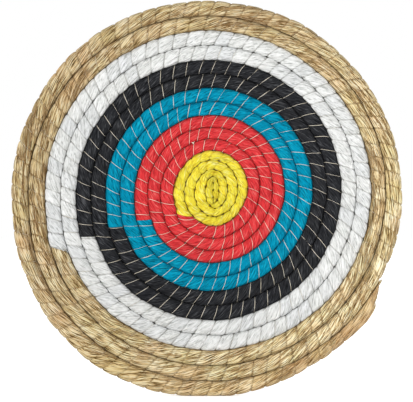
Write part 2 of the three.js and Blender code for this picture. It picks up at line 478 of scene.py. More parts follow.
def raggedEnd(arc, share):
    near = smoothStep((arc - endArcs["white"] + tornEdge["long"]) / tornEdge["long"])
    fine = softNoise(share * tornEdge["fineWaves"], 0 * share, 42)
    torn = softNoise(share * tornEdge["waves"], 0 * share, 41) + tornEdge["fineShare"] * fine
    tongue = np.exp(-(((share - tornEdge["tongueAt"]) / tornEdge["tongueWide"]) ** 2))
    return arc - near * (tornEdge["deep"] + tornEdge["deep"] * torn - tornEdge["tongueLong"] * tongue)


# How unevenly the painted shade in the grooves darkens along the rope
shading = {
    "cloth": {"level": 0.65, "uneven": 0.35, "long": 0.013, "seed": 61},
    "straw": {"level": 0.7, "uneven": 0.45, "long": 0.02, "seed": 62},
    "byStitch": 0.7,  # cloth is darker beside a stitch
    "byStitchWide": 0.0025,
    "fadeRing": 325,  # grooves are lighter toward the frayed end
    "fadeOver": 4,
    "fade": 0.8,
}


# Lays corners out on the rope's skin; arc and share say where, and inset goes inward.
# The painted shade of creases and hollows comes back, and the painted shade of the groove beside the next
# turn
def onSkin(arc, share, look, inset=0.0, plain=False, isStraw=False):
    if look is ropeLooks["white"]:
        arc = raggedEnd(arc, share)
    across, high = sectionShape(share, look)
    half = ropeSection(turnAt(arc))[2]
    leaned = arc - slantAt(arc) * half * across
    turn = turnAt(leaned)
    middle, outward, half, depth = ropeSection(turn)
    x, y = across * (half + skin["swell"]), high * depth / 2
    isRim = (turn > winding["rimTurn"]) & (x > 0)
    held = np.where(isRim, 0, skin["pressHold"] * np.exp(-((high / skin["pressHigh"]) ** 2)))
    near = nearestStitch(arc)
    # Painted shade in the crease that a stitch draws, less over the top of the turn than at its sides
    long, waves = skin["tuckUnevenSize"]
    pulled = skin["tuckMiddle"] + (1 - skin["tuckMiddle"]) * across * across
    pulled = pulled + skin["tuckUneven"] * softNoise(leaned / long, across * waves, 63)
    creaseShade = np.exp(-((near / skin["tuckWide"]) ** 2)) * pulled * (skin["tuckOnStraw"] if isStraw else 1)
    inward = look["crease"] * np.exp(-((near / skin["creaseWide"]) ** 2))
    inward += look["puff"] * np.exp(-((near / skin["puffWide"]) ** 2))
    if not plain:
        relief, hollow = surfaceRelief(arc, leaned, share, near, look, isStraw)
        inward += relief
        creaseShade = np.maximum(creaseShade, hollow)
    kept = 1 - (inward * (1 - held) + inset) / np.hypot(x, y)
    x, y = x * kept, y * kept
    run = grooveHeight(turn) - depth / 2
    channel = skin["channelDeep"] * np.exp(-(((y - run) / skin["channelWide"]) ** 2))
    pinch = look["pinch"] * np.exp(-((near / skin["pinchWide"]) ** 2))
    pinch = pinch * smoothStep((high - skin["pinchFrom"]) / skin["pinchOver"])
    gap = skin["pressGap"] - skin["eyePress"] * np.exp(-np.clip(turn, 0, None) / skin["eyePressTurns"])
    room = np.maximum(half - gap - channel - pinch - np.maximum(inset, 0), skin["leastRoom"] * half)
    x = np.where((x > room) & ~isRim, room, np.maximum(x, -room))
    small, wide = endShares(arc, isStraw)
    x = x * small
    x = -half + (x + half) * wide
    y = y * small * (1 - ropeEnds["tailThinner"] + ropeEnds["tailThinner"] * wide)
    points = placePoints(middle, outward, x, depth / 2 + y)
    points[..., 2] = np.maximum(points[..., 2], skin["floor"])
    # How strong the painted shade in the groove is, patchy along the rope
    shade = shading["straw" if isStraw else "cloth"]
    patchyShade = shade["level"] + shade["uneven"] * softNoise(leaned / shade["long"], across, shade["seed"])
    if isStraw:
        fading = smoothStep((turn * winding["ringsPerTurn"] - shading["fadeRing"]) / shading["fadeOver"])
        patchyShade = patchyShade * (1 - shading["fade"] * fading)
    else:
        patchyShade = patchyShade + shading["byStitch"] * np.exp(-((near / shading["byStitchWide"]) ** 2))
    # Painted shade in the groove beside the next turn
    grooveShade = smoothStep((skin["grooveFrom"] - high) / skin["grooveOver"]) * patchyShade * ~isRim
    return points, leaned, creaseShade, np.clip(grooveShade, 0, 1)


# Rows along a stretch, closer together near each stitch
def rowsAlong(first, last, perStitch, squeeze=0.72):
    margin = skin["rowMargin"]
    marks = [first] + [s for s in stitchArcs if first + margin < s < last - margin] + [last]
    rows = []
    for start, end in zip(marks, marks[1:]):
        count = max(2, round(perStitch * (end - start) / skin["rowPitch"]))
        if turnAt(start) < skin["tightTurns"]:
            count *= 2
        share = np.arange(count) / count
        share = share - squeeze * np.sin(2 * np.pi * share) / (2 * np.pi)
        rows.extend(start + (end - start) * share)
    rows.append(last)
    return np.array(rows)


# A flat grid with a map, and the row and column that each of its corners is on
def flatGrid(rowCount, columns):
    sheet = bmesh.new()
    sheet.loops.layers.uv.new("ropeMap")
    bmesh.ops.create_grid(sheet, x_segments=rowCount - 1, y_segments=columns, size=0.5, calc_uvs=True)
    mesh = bpy.data.meshes.new("flatSheet")
    sheet.to_mesh(mesh)
    sheet.free()
    flat = np.empty(len(mesh.vertices) * 3)
    mesh.vertices.foreach_get("co", flat)
    flat = flat.reshape(-1, 3)
    row = np.rint((flat[:, 0] + 0.5) * (rowCount - 1)).astype(int)
    column = np.rint((flat[:, 1] + 0.5) * columns).astype(int)
    return mesh, row, column


# Moves a grid's corners to their points and its map to their spots
def layOut(mesh, points, spots):
    mesh.vertices.foreach_set("co", points.ravel())
    corner = np.empty(len(mesh.loops), np.int32)
    mesh.loops.foreach_get("vertex_index", corner)
    mesh.uv_layers["ropeMap"].uv.foreach_set("vector", spots[corner].astype(np.float32).ravel())
    return corner


# What the materials read from the corners: painted shade in creases and in grooves, and the block between
# two stitches
def markCorners(mesh, creaseShade, grooveShade, block):
    for mark, values in (("creaseShade", creaseShade), ("grooveShade", grooveShade), ("block", block)):
        mesh.attributes.new(mark, "FLOAT", "POINT").data.foreach_set("value", values.astype(np.float32))


# A flat grid, bent into a tube of rope; its sides meet at the middle of the back
def ropeSheet(rows, columns, look, inset=0.0, plain=False, isStraw=False):
    mesh, row, column = flatGrid(len(rows), columns)
    arc, share = rows[row], column / columns
    points, leaned, creaseShade, grooveShade = onSkin(arc, share, look, inset, plain, isStraw)
    shares, girth = girthTable(look)
    around = np.interp(share, shares, girth)
    spots = np.stack([leaned, acrossLay(leaned, around, "straw" if isStraw else "cloth")], -1)
    layOut(mesh, points, spots)
    block = stitchShift[np.searchsorted(stitchArcs, arc)] / stitchShift.max()
    markCorners(mesh, creaseShade, grooveShade, block)
    return mesh


# How near corners and rims are when they are taken as one
welding = {
    "corners": 0.000001,
    "rims": 0.006,
}


# The open rims of a mesh, as lists of edges with the middle of each
def openRims(tube):
    left = dict.fromkeys(edge for edge in tube.edges if len(edge.link_faces) == 1)
    rims = []
    while left:
        queue, rim = [left.popitem()[0]], []
        while queue:
            edge = queue.pop()
            rim.append(edge)
            for corner in edge.verts:
                for other in corner.link_edges:
                    if other in left:
                        del left[other]
                        queue.append(other)
        middle = np.mean([np.array(e.verts[0].co) for e in rim], axis=0)
        rims.append((rim, middle))
    return rims


# Several meshes as one, with corners at the same place made one
def gathered(meshes):
    whole = bmesh.new()
    for mesh in meshes:
        whole.from_mesh(mesh)
        bpy.data.meshes.remove(mesh)
    bmesh.ops.remove_doubles(whole, verts=whole.verts, dist=welding["corners"])
    return whole


# A smooth mesh whose faces point outward
def finished(name, whole):
    bmesh.ops.recalc_face_normals(whole, faces=whole.faces)
    mesh = bpy.data.meshes.new(name)
    whole.to_mesh(mesh)
    whole.free()
    mesh.polygons.foreach_set("use_smooth", np.ones(len(mesh.polygons), bool))
    return mesh


# Joins sheets into one closed body: rims at the same place are bridged, a lone rim is filled
def closedRope(name, sheets):
    tube = gathered(sheets)
    rims = openRims(tube)
    while rims:
        rim, middle = rims.pop()
        apart = [np.linalg.norm(other - middle) for _, other in rims]
        if apart and min(apart) < welding["rims"]:
            partner = rims.pop(int(np.argmin(apart)))[0]
            bmesh.ops.bridge_loops(tube, edges=rim + partner)
        else:
            bmesh.ops.edgeloop_fill(tube, edges=rim)
    return finished(name, tube)


def placePiece(name, mesh, material, node):
    piece = bpy.data.objects.new(name, mesh)
    bpy.context.scene.collection.objects.link(piece)
    mesh.materials.append(material)
    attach(piece, "root")
    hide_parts(node)
    mesh.calc_loop_triangles()
    print(name, len(mesh.loop_triangles), "triangles")
    return piece


# Linear colour from an sRGB hex value
def colour(hexValue):
    parts = [int(hexValue[i:i + 2], 16) / 255 for i in (1, 3, 5)]
    linear = [p / 12.92 if p <= 0.04045 else ((p + 0.055) / 1.055) ** 2.4 for p in parts]
    return (*linear, 1.0)


# Adds a node with its settings; an input is given a value or the socket that feeds it, and a colour
# ramp its stops, each a place on it and a hex value
def addNode(tree, kind, inputs=None, stops=(), **settings):
    made = tree.nodes.new("ShaderNode" + kind)
    for setting, value in settings.items():
        setattr(made, setting, value)
    for socket, value in (inputs or {}).items():
        if isinstance(value, bpy.types.NodeSocket):
            tree.links.new(value, made.inputs[socket])
        else:
            made.inputs[socket].default_value = value
    if stops:
        ramp = made.color_ramp.elements
        for end, (place, hexValue) in ((ramp[0], stops[0]), (ramp[1], stops[-1])):
            end.position = place
            end.color = colour(hexValue)
        for place, hexValue in stops[1:-1]:
            ramp.new(place).color = colour(hexValue)
    return made


def newMaterial(name):
    material = bpy.data.materials.new(name)
    material.use_nodes = True
    material.node_tree.nodes.clear()
    return material, material.node_tree


# The tint of each block between two stitches, for what is wound or bundled there is never quite even
def blockTint(tree, tints):
    block = addNode(tree, "Attribute", attribute_name="block").outputs["Fac"]
    return addNode(tree, "ValToRGB", {"Fac": block}, list(zip((0, 0.5, 1), tints))).outputs["Color"]


# How much painted shade a spot gets, in the creases that stitches draw and in the grooves between turns
def paintedShadeShare(tree, tuckDark, grooveDark):
    dark = []
    for mark, share in (("creaseShade", tuckDark), ("grooveShade", grooveDark)):
        marked = addNode(tree, "Attribute", attribute_name=mark).outputs["Fac"]
        dark.append(addNode(tree, "Math", {0: marked, 1: share}, operation="MULTIPLY").outputs[0])
    return addNode(tree, "Math", {0: dark[0], 1: dark[1]}, operation="MAXIMUM").outputs[0]


# Long streaks that lean against the rope, such as straws and folds; their size is in metres
def streaks(tree, ropeMap, size, lean, noise):
    laid = addNode(tree, "Mapping", {"Vector": ropeMap, "Rotation": (0, 0, lean), "Scale": (*size, 1)},
                   vector_type="TEXTURE")
    return addNode(tree, "TexNoise", {"Vector": laid.outputs[0], "Scale": 1.0, **noise}).outputs["Fac"]


# The surface of a finish: its colour and relief, and how rough and glossy it is
def setSurface(tree, finish, base, bump):
    shader = addNode(tree, "BsdfPrincipled", {
        "Base Color": base, "Roughness": finish["roughness"], "Specular IOR Level": finish["specular"],
        "Normal": bump.outputs["Normal"]})
    addNode(tree, "OutputMaterial", {"Surface": shader.outputs[0]})


# Plain woven cotton, wound tight: matt, with a fine weave, long tension folds and a little wear
clothFinish = {
    "threadSpacing": 0.0006,  # metres between threads of the weave
    "weave": {"Distortion": 0.6, "Detail": 1.0},
    "weaveStrength": 0.35,
    "weaveDeep": 0.00012,
    "foldSize": (0.011, 0.0019),  # metres: length and width of the fine folds
    "foldNoise": {"Detail": 3.0, "Roughness": 0.6, "Distortion": 0.3},
    "crinkleSize": (0.0105, 0.0013),  # metres: the small creases between the folds
    "crinkleNoise": {"Detail": 1.0, "Distortion": 0.4},
    "crinkleLean": 0.15,
    "crinkleShare": 0.4,
    "crinkleDeep": 0.0009,
    "patchNoise": {"Scale": 70.0, "Detail": 3.0},  # patches of wear, about 14 mm across
    "patchShare": 0.25,
    # The tone: painted shade in the hollows of folds and creases, the plain colour, and painted highlight on
    # their ridges
    "toneStops": (0.40, 0.48, 0.53, 0.61),
    "tints": ("#f3f4f6", "#f9f9f8", "#ffffff"),
    "roughness": 0.95,
    "specular": 0.08,
}


def wovenCotton(name, base, shade, light, dark, foldDeep, tuckDark, grooveDark):
    material, tree = newMaterial(name)
    finish = clothFinish
    ropeMap = addNode(tree, "UVMap", uv_map="ropeMap").outputs["UV"]
    perMetre = 2 * math.pi / 20 / finish["threadSpacing"]  # a wave texture has 20 radians to a unit
    wave = {"Vector": ropeMap, "Scale": perMetre, **finish["weave"]}
    warp = addNode(tree, "TexWave", wave, bands_direction="X").outputs["Fac"]
    weft = addNode(tree, "TexWave", wave, bands_direction="Y").outputs["Fac"]
    weave = addNode(tree, "Math", {0: warp, 1: weft}, operation="MULTIPLY").outputs[0]
    folds = streaks(tree, ropeMap, finish["foldSize"], 0, finish["foldNoise"])
    crinkle = streaks(tree, ropeMap, finish["crinkleSize"], finish["crinkleLean"], finish["crinkleNoise"])
    patches = addNode(tree, "TexNoise", {"Vector": ropeMap, **finish["patchNoise"]}).outputs["Fac"]
    patchyShade = addNode(tree, "Mix", {0: finish["patchShare"], 2: folds, 3: patches}).outputs[0]
    rumpled = addNode(tree, "Mix", {0: finish["crinkleShare"], 2: patchyShade, 3: crinkle}).outputs[0]
    # Painted shade and painted highlight that follow the folds and creases, mixed with patches of wear
    stops = list(zip(finish["toneStops"], (shade, base, base, light)))
    tone = addNode(tree, "ValToRGB", {"Fac": rumpled}, stops).outputs["Color"]
    tint = blockTint(tree, finish["tints"])
    tinted = addNode(tree, "Mix", {0: 1.0, 6: tone, 7: tint}, data_type="RGBA", blend_type="MULTIPLY")
    hidden = paintedShadeShare(tree, tuckDark, grooveDark)
    shaded = addNode(tree, "Mix", {0: hidden, 6: tinted.outputs[2], 7: colour(dark)}, data_type="RGBA")
    foldBump = addNode(tree, "Bump", {"Height": folds, "Strength": 1.0, "Distance": foldDeep})
    crinkleBump = addNode(tree, "Bump", {"Height": crinkle, "Strength": 1.0,
                                         "Distance": finish["crinkleDeep"],
                                         "Normal": foldBump.outputs["Normal"]})
    weaveBump = addNode(tree, "Bump", {"Height": weave, "Strength": finish["weaveStrength"],
                                       "Distance": finish["weaveDeep"],
                                       "Normal": crinkleBump.outputs["Normal"]})
    setSurface(tree, finish, shaded.outputs[2], weaveBump)
    return material


# Dry rice straw twisted into rope: matt fibres that run slantwise along the rope, tan, with light and brown
# ones between and a little green, painted shade in the gaps and painted highlight on the lightest, and paler
# toward the lower right, partly painted light
strawFinish = {
    # length and width in metres, coarse enough to show, how they lean against the rope, and the noise
    "fine": ((0.020, 0.00085), 0.07, {"Detail": 0.8, "Roughness": 0.6}),
    "middle": ((0.030, 0.00115), -0.05, {"Detail": 1.0, "Roughness": 0.6}),
    "coarse": ((0.050, 0.0050), 0, {"Detail": 2.0, "Roughness": 0.6}),
    "middleShare": 0.38,
    "coarseShare": 0.06,
    "fibreDeep": 0.0014,
    "bendNoise": {"Scale": 30.0, "Detail": 1.0},  # a bend every 33 mm or so
    "bend": (0, 0.003, 0),  # metres that fibres stray across the rope
    # The tone: painted shade in the gaps between straws, then brown, plain and light straws, the light end
    # also a painted highlight
    "toneStops": (0.42, 0.465, 0.51, 0.58),
    "hueNoise": {"Scale": 22.0, "Detail": 3.0},  # patches about 45 mm across
    "hues": ((0.36, "#debb9c"), (0.5, "#f6f3e9"), (0.66, "#d6cf90")),  # brown, plain and green patches
    "hueShare": 0.4,
    "tints": ("#efeae0", "#f8f5ee", "#ffffff"),
    # Paler toward the lower right: partly straw that is paler there, partly painted light that is brighter
    # there
    "palerWay": (0.62, 0, -0.78),
    "palerFrom": -0.3,  # metres along that way, to 0, where the straw is palest all through
    "upperLeftTone": "#e8e2d5",
    "lowerRightTone": "#f9f9ee",
    "endRings": (322, 329),  # over these the rope's last stretch gets browner
    "endStain": 0.4,
    "endColour": "#d8ae8e",
    # Painted shade in splits and hollows and in the grooves between turns: its colour, and how dark it gets
    # in each
    "dark": "#5a3f17",
    "hollowDark": 0.62,
    "grooveDark": 0.86,
    "roughness": 0.8,
    "specular": 0.15,
}


def twistedStraw(name, gap, shade, base, light):
    material, tree = newMaterial(name)
    finish = strawFinish
    straight = addNode(tree, "UVMap", uv_map="ropeMap").outputs["UV"]
    bend = addNode(tree, "TexNoise", {"Vector": straight, **finish["bendNoise"]}).outputs["Color"]
    aside = addNode(tree, "VectorMath", {0: bend, 1: finish["bend"]}, operation="MULTIPLY").outputs[0]
    ropeMap = addNode(tree, "VectorMath", {0: straight, 1: aside}, operation="ADD").outputs[0]
    fine, middle, coarse = [streaks(tree, ropeMap, *finish[kind]) for kind in ("fine", "middle", "coarse")]
    thin = addNode(tree, "Mix", {0: finish["middleShare"], 2: fine, 3: middle}).outputs[0]
    fibres = addNode(tree, "Mix", {0: finish["coarseShare"], 2: thin, 3: coarse}).outputs[0]
    # Painted shade in the gaps and painted highlight at the light end, with brown, plain and light straws
    # between
    stops = list(zip(finish["toneStops"], (gap, shade, base, light)))
    tone = addNode(tree, "ValToRGB", {"Fac": fibres}, stops).outputs["Color"]
    patches = addNode(tree, "TexNoise", {"Vector": ropeMap, **finish["hueNoise"]}).outputs["Fac"]
    hue = addNode(tree, "ValToRGB", {"Fac": patches}, finish["hues"]).outputs["Color"]
    # Paler toward the lower right, partly painted light
    place = addNode(tree, "TexCoord").outputs["Object"]
    toward = addNode(tree, "VectorMath", {0: place, 1: finish["palerWay"]}, operation="DOT_PRODUCT")
    towardLowerRight = addNode(tree, "MapRange", {"Value": toward.outputs["Value"], "From Max": 0.0,
                                           "From Min": finish["palerFrom"]}).outputs["Result"]
    paler = addNode(tree, "Mix", {0: towardLowerRight, 6: colour(finish["upperLeftTone"]),
                                  7: colour(finish["lowerRightTone"])}, data_type="RGBA").outputs[2]
    run = addNode(tree, "SeparateXYZ", {"Vector": ropeMap}).outputs["X"]
    endFrom, endTo = [arcAtRing(ring) for ring in finish["endRings"]]
    nearEnd = addNode(tree, "MapRange", {"Value": run, "From Min": endFrom, "From Max": endTo,
                                         "To Max": finish["endStain"]}).outputs["Result"]
    stains = [(finish["hueShare"], hue), (1.0, paler), (1.0, blockTint(tree, finish["tints"])),
              (nearEnd, colour(finish["endColour"]))]
    for share, stain in stains:
        stained = addNode(tree, "Mix", {0: share, 6: tone, 7: stain}, data_type="RGBA",
                          blend_type="MULTIPLY")
        tone = stained.outputs[2]
    hidden = paintedShadeShare(tree, finish["hollowDark"], finish["grooveDark"])
    shaded = addNode(tree, "Mix", {0: hidden, 6: tone, 7: colour(finish["dark"])}, data_type="RGBA")
    bump = addNode(tree, "Bump", {"Height": fibres, "Strength": 1.0, "Distance": finish["fibreDeep"]})
    setSurface(tree, finish, shaded.outputs[2], bump)
    return material


# Waxed sewing thread of pale cotton: two plies twisted together, a little glossier than the cloth
threadFinish = {
    "plyTurn": (0, 0, math.radians(40)),
    "ply": {"Scale": 330.0, "Distortion": 0.4},  # drawn about 1 mm long, so that the twist can show
    "plyStrength": 0.6,
    "plyDeep": 0.0002,
    "patchNoise": {"Scale": 120.0, "Detail": 2.0},  # darker spots every 8 mm or so
    "tones": ((0.35, "#ddd2bb"), (0.65, "#fff6e6")),
    "roughness": 0.6,
    "specular": 0.35,
}


def sewingThread(name):
    material, tree = newMaterial(name)
    finish = threadFinish
    threadMap = addNode(tree, "UVMap", uv_map="ropeMap").outputs["UV"]
    turned = addNode(tree, "Mapping", {"Vector": threadMap, "Rotation": finish["plyTurn"]}).outputs[0]
    plies = addNode(tree, "TexWave", {"Vector": turned, **finish["ply"]}).outputs["Fac"]
    patches = addNode(tree, "TexNoise", {"Vector": threadMap, **finish["patchNoise"]}).outputs["Fac"]
    tone = addNode(tree, "ValToRGB", {"Fac": patches}, finish["tones"]).outputs["Color"]
    bump = addNode(tree, "Bump", {"Height": plies, "Strength": finish["plyStrength"],
                                  "Distance": finish["plyDeep"]})
    setSurface(tree, finish, tone, bump)
    return material


# Each cloth's own colour, its painted shade and painted highlight on the folds, and the colour of the
# painted shade in its creases and grooves, then how deep its folds are, and how dark the painted shade in
# its creases and its grooves gets
clothColours = {
    "yellow": ("#fff046", "#eac831", "#fff99a", "#94600a", 0.0028, 0.32, 0.85),
    "red": ("#e43c40", "#b1252b", "#f46f6c", "#631503", 0.0022, 0.32, 0.75),
    "blue": ("#0097bb", "#00687f", "#16b5d2", "#00384a", 0.0034, 0.36, 0.8),
    "black": ("#2c2d30", "#131417", "#525356", "#090a0b", 0.0026, 0.3, 0.85),
    "white": ("#f1f2f0", "#c7c9c6", "#ffffff", "#68645a", 0.0030, 0.66, 0.74),
}
clothMaterials = {key: wovenCotton(key + "WovenCotton", *tones) for key, tones in clothColours.items()}
# Straw: the painted shade in the gaps between straws, then brown and plain straws, then light ones whose
# lightest end is a painted highlight
strawMaterial = twistedStraw("dryTwistedStraw", "#6b5836", "#ccb48b", "#fdebc7", "#fffdec")
looseMaterial = twistedStraw("dryLooseStraw", "#7d6440", "#c7ad7e", "#eed8ac", "#fff7e0")
threadMaterial = sewingThread("waxedSewingThread")
print("materials made")

# Each cloth wrap is hollow, with the straw core through it
wraps = {
    "columns": 48,
    "perStitch": 13,
    "boreColumns": 8,
    "borePerStitch": 3,
    "wall": 0.0009,
    "coreGap": 0.0003,
    "butt": 0.00015,
    "firstTurn": -0.19,
    "tuckedAside": 0.0010,
    "tuckedHigh": 0.0055,
    "tuckedHalf": (0.0044, 0.0045, 0.0165),
    "tuckedSteps": 11,
    "tuckedEnds": 0.98,
    # Painted shade: the tucked cloth is painted as dark as a groove deep in the slit
    "tuckedShade": 0.9,  # deep in the slit it is as dark as a groove
}


# The start of the cloth, tucked into the slit of the eye and filling it to half its depth
def tuckedStart():
    along = np.linspace(-wraps["tuckedEnds"], wraps["tuckedEnds"], wraps["tuckedSteps"])
    middle = np.empty((1, len(along), 3))
    middle[..., 0] = winding["eyeX"] + wraps["tuckedAside"]
    middle[..., 1] = winding["backY"] - wraps["tuckedHigh"]
    middle[..., 2] = winding["eyeZ"] + wraps["tuckedHalf"][2] * along
    out = np.broadcast_to(np.array([0, -1.0, 0]), middle.shape)
    swell = np.sqrt(1 - along ** 4)[None]
    wide, deep, _ = wraps["tuckedHalf"]
    mesh = tubesAlong(middle, out, deep * swell, wide * swell, wraps["boreColumns"], False)
    # The tucked cloth gets painted groove shade all over
    shade = np.full(len(mesh.vertices), wraps["tuckedShade"])
    markCorners(mesh, 0 * shade, shade, 0 * shade)
    return mesh


def makeWrap(key, firstArc, lastArc):
    look = ropeLooks[key]
    first, last = firstArc + wraps["butt"], lastArc - wraps["butt"]
    outside = ropeSheet(rowsAlong(first, last, wraps["perStitch"]), wraps["columns"], look)
    boreRows = rowsAlong(first, last, wraps["borePerStitch"])
    bore = ropeSheet(boreRows, wraps["boreColumns"], look, wraps["wall"], plain=True)
    sheets = [outside, bore] + ([tuckedStart()] if key == "yellow" else [])
    mesh = closedRope(key + "_cloth_wrap", sheets)
    return placePiece(key + "_cloth_wrap", mesh, clothMaterials[key], key + "_wrap")


# Stitches: a thread round the rope at each crease, and the run that links them between the turns
threads = {
    "steps": 16,
    "sides": 4,
    "sunk": {"yellow": 0.0026, "red": 0.0002, "blue": 0.0002, "black": 0.0002, "white": 0.0007,
             "straw": 0.0012},
    "sunkUneven": 0.00035,
    "sunkWaves": (53, 9),  # to a metre of rope, and round it
    "bend": 0.0005,  # a stitch strays this far along the rope
    "bendWaves": (97, 7),
    "onStraw": 0.8,  # the thread cuts into bare straw and shows thinner there
    "firstTurn": 0.95,
    "runSides": 4,
    "runEndRing": 308,  # from here on the run would lie open on the rim
    "runStep": 0.006,
    "runHalfWide": 0.0003,
    "runHalfHigh": 0.0007,
    "mapApart": 0.1,  # each stitch has its own stretch of the thread's pattern
}


def lookAt(arc):
    return next((key for key, end in endArcs.items() if arc < end), "straw")


# A flat grid laid out at the given points, and the rows that the corners of each face are on
def placeGrid(points, spots):
    mesh, row, column = flatGrid(len(points), points.shape[1] - 1)
    corner = layOut(mesh, points[row, column], spots[row, column])
    return mesh, row[corner].reshape(-1, 4)


# Tubes along rows of points, as one sheet that is cut apart between them and closed round each
def tubesAlong(middle, out, reachOut, reachSide, sides, isLoop):
    count, steps = middle.shape[:2]
    if isLoop:
        ahead = np.roll(middle[:, :-1], -1, axis=1) - np.roll(middle[:, :-1], 1, axis=1)
        ahead = np.concatenate([ahead, ahead[:, :1]], axis=1)
    else:
        ahead = np.gradient(middle, axis=1)
    ahead /= np.linalg.norm(ahead, axis=-1, keepdims=True)
    out = out - (out * ahead).sum(-1, keepdims=True) * ahead
    out /= np.linalg.norm(out, axis=-1, keepdims=True)
    side = np.cross(ahead, out)
    angle = 2 * np.pi * np.arange(sides + 1) / sides
    points = (middle[:, :, None] + (reachOut[..., None] * np.cos(angle))[..., None] * out[:, :, None]
              + (reachSide[..., None] * np.sin(angle))[..., None] * side[:, :, None])
    length = np.linalg.norm(np.diff(middle, axis=1), axis=-1).cumsum(axis=1)
    length = np.concatenate([np.zeros((count, 1)), length], axis=1)
    length = length + threads["mapApart"] * np.arange(count)[:, None]
    spots = np.stack(np.broadcast_arrays(length[..., None], reachSide[..., None] * angle), -1)
    mesh, rows = placeGrid(points.reshape(-1, sides + 1, 3), spots.reshape(-1, sides + 1, 2))
    owner = rows // steps
    tubes = bmesh.new()
    tubes.from_mesh(mesh)
    bpy.data.meshes.remove(mesh)
    tubes.faces.ensure_lookup_table()
    between = [tubes.faces[i] for i in np.flatnonzero(owner.min(1) != owner.max(1))]
    bmesh.ops.delete(tubes, geom=between, context="FACES")
    bmesh.ops.remove_doubles(tubes, verts=tubes.verts, dist=welding["corners"])
    bmesh.ops.edgeloop_fill(tubes, edges=[edge for edge in tubes.edges if edge.is_boundary])
    made = bpy.data.meshes.new("tubes")
    tubes.to_mesh(made)
    tubes.free()
    return made


# Points sunk into the skin, and the way outward from them
def skinSpots(arc, share, look, sunk, isStraw):
    middle = onSkin(arc, share, look, sunk, plain=True, isStraw=isStraw)[0]
    inside = onSkin(arc, share, look, skin["probe"], plain=True, isStraw=isStraw)[0]
    return middle, middle - inside


# Thread round the rope at the given stitches of one stretch
def stitchLoops(arcs, key):
    look, isStraw, steps = ropeLooks[key], key == "straw", threads["steps"]
    share = np.tile(np.arange(steps + 1) / steps, (len(arcs), 1))
    arc = np.repeat(arcs[:, None], steps + 1, 1)
    half = np.sin(np.pi * share)
    thick = stitching["thread"]
    waves, turns = threads["bendWaves"]
    arc = arc + threads["bend"] * softNoise(arc * waves, half * turns, 71)
    waves, turns = threads["sunkWaves"]
    uneven = threads["sunkUneven"] * softNoise(arc * waves, half * turns, 72)
    middle, out = skinSpots(arc, share, look, threads["sunk"][key] - thick + uneven, isStraw)
    reach = np.full(share.shape, thick * (threads["onStraw"] if isStraw else 1))
    return tubesAlong(middle, out, reach, reach, threads["sides"], True)


# A point of the rope by its turn, its place across the rope and its height above the backs
def ropeSpot(turn, x, height):
    middle, outward, _, _ = ropeSection(turn)
    return placePoints(middle, outward, x, height)


# The small knot where one length of thread ends and the next begins, with its two tails
knot = {
    "turn": 4.43,
    "level": 0.93,  # share of the rope's depth
    "size": 0.0011,
    "steps": 25,
    "thread": 0.00034,
    "facing": (0.1, -1.0, 0.2),
    "tail": 0.004,
    "tailSteps": 7,
    "tailWays": ((-0.75, -0.25, 0.62), (0.35, -0.3, 0.85)),
    "tailBend": (0.25, 0.5, -0.4),
    "tailTip": 0.6,
}


def knotTubes():
    turn = np.array([knot["turn"]])
    level = fullWidth(turn) * winding["depthShare"] * knot["level"]
    centre = ropeSpot(turn, ropeSection(turn)[2], level)[0]
    step = np.linspace(0, 2 * np.pi, knot["steps"])
    wound = np.stack([np.sin(step) + 2 * np.sin(2 * step), -0.8 * np.sin(3 * step),
                      np.cos(step) - 2 * np.cos(2 * step)], -1) * knot["size"] / 3
    loop = (centre + wound)[None]
    out = np.broadcast_to(np.array(knot["facing"]), loop.shape)
    reach = np.full(loop.shape[:2], knot["thread"])
    made = [tubesAlong(loop, out, reach, reach, threads["sides"], True)]
    run = np.linspace(0, 1, knot["tailSteps"])[:, None]
    for way in knot["tailWays"]:
        bend = np.array(knot["tailBend"]) * run * run
        tail = (centre + knot["tail"] * (np.array(way) * run + bend))[None]
        out = np.broadcast_to(np.array(knot["facing"]), tail.shape)
        reach = np.linspace(1, knot["tailTip"], knot["tailSteps"])[None] * knot["thread"]
        made.append(tubesAlong(tail, out, reach, reach, threads["sides"], False))
    return made


def makeStitches(name, node, firstRing, lastRing, runEnd, extra):
    inRange = stitchArcs[(stitchArcs >= arcAt(threads["firstTurn"])) & (stitchArcs >= arcAtRing(firstRing))
                         & (stitchArcs < arcAtRing(lastRing))]
    keys = np.array([lookAt(arc) for arc in inRange])
    made = [stitchLoops(inRange[keys == key], key) for key in ropeLooks if (keys == key).any()]
    mesh = joined(name, made + [runSheet(firstRing, runEnd)] + extra)
    return placePiece(name, mesh, threadMaterial, node)


# Several meshes as one, with every rim filled
def joined(name, meshes):
    whole = gathered(meshes)
    bmesh.ops.edgeloop_fill(whole, edges=[edge for edge in whole.edges if edge.is_boundary])
    return finished(name, whole)


# The run of thread that lies hidden between each turn and the next, in the groove the frame has
def runSheet(firstRing, lastRing):
    first, last = arcAtRing(firstRing), arcAtRing(lastRing)
    count = int((last - first) / threads["runStep"])
    turn = turnAt(np.linspace(first, last, count + 1))
    outward = ropeSection(turn)[1]
    turnRound = 2 * np.pi * np.arange(threads["runSides"] + 1) / threads["runSides"]
    wide = threads["runHalfWide"] * np.cos(turnRound)
    high = grooveHeight(turn)[:, None] + threads["runHalfHigh"] * np.sin(turnRound)
    points = placePoints(seamPoint(turn)[:, None], outward[:, None], 0 * high + wide, high)
    length = np.linspace(first, last, count + 1)[:, None] + 0 * wide
    spots = np.stack([length, 0 * length + turnRound * threads["runHalfWide"]], -1)
    return placeGrid(points, spots)[0]


firstArc = arcAt(wraps["firstTurn"])
for key in clothColours:
    makeWrap(key, firstArc, endArcs[key])
    firstArc = endArcs[key]
print("cloth wraps made")

join = winding["threadJoin"]
lastRing = winding["changes"][-1]
makeStitches("inner_stitches", "inner_stitching_thread", 0, join, join, knotTubes())
makeStitches("outer_stitches", "outer_stitching_thread", join, lastRing, threads["runEndRing"], [])
print("stitches made")

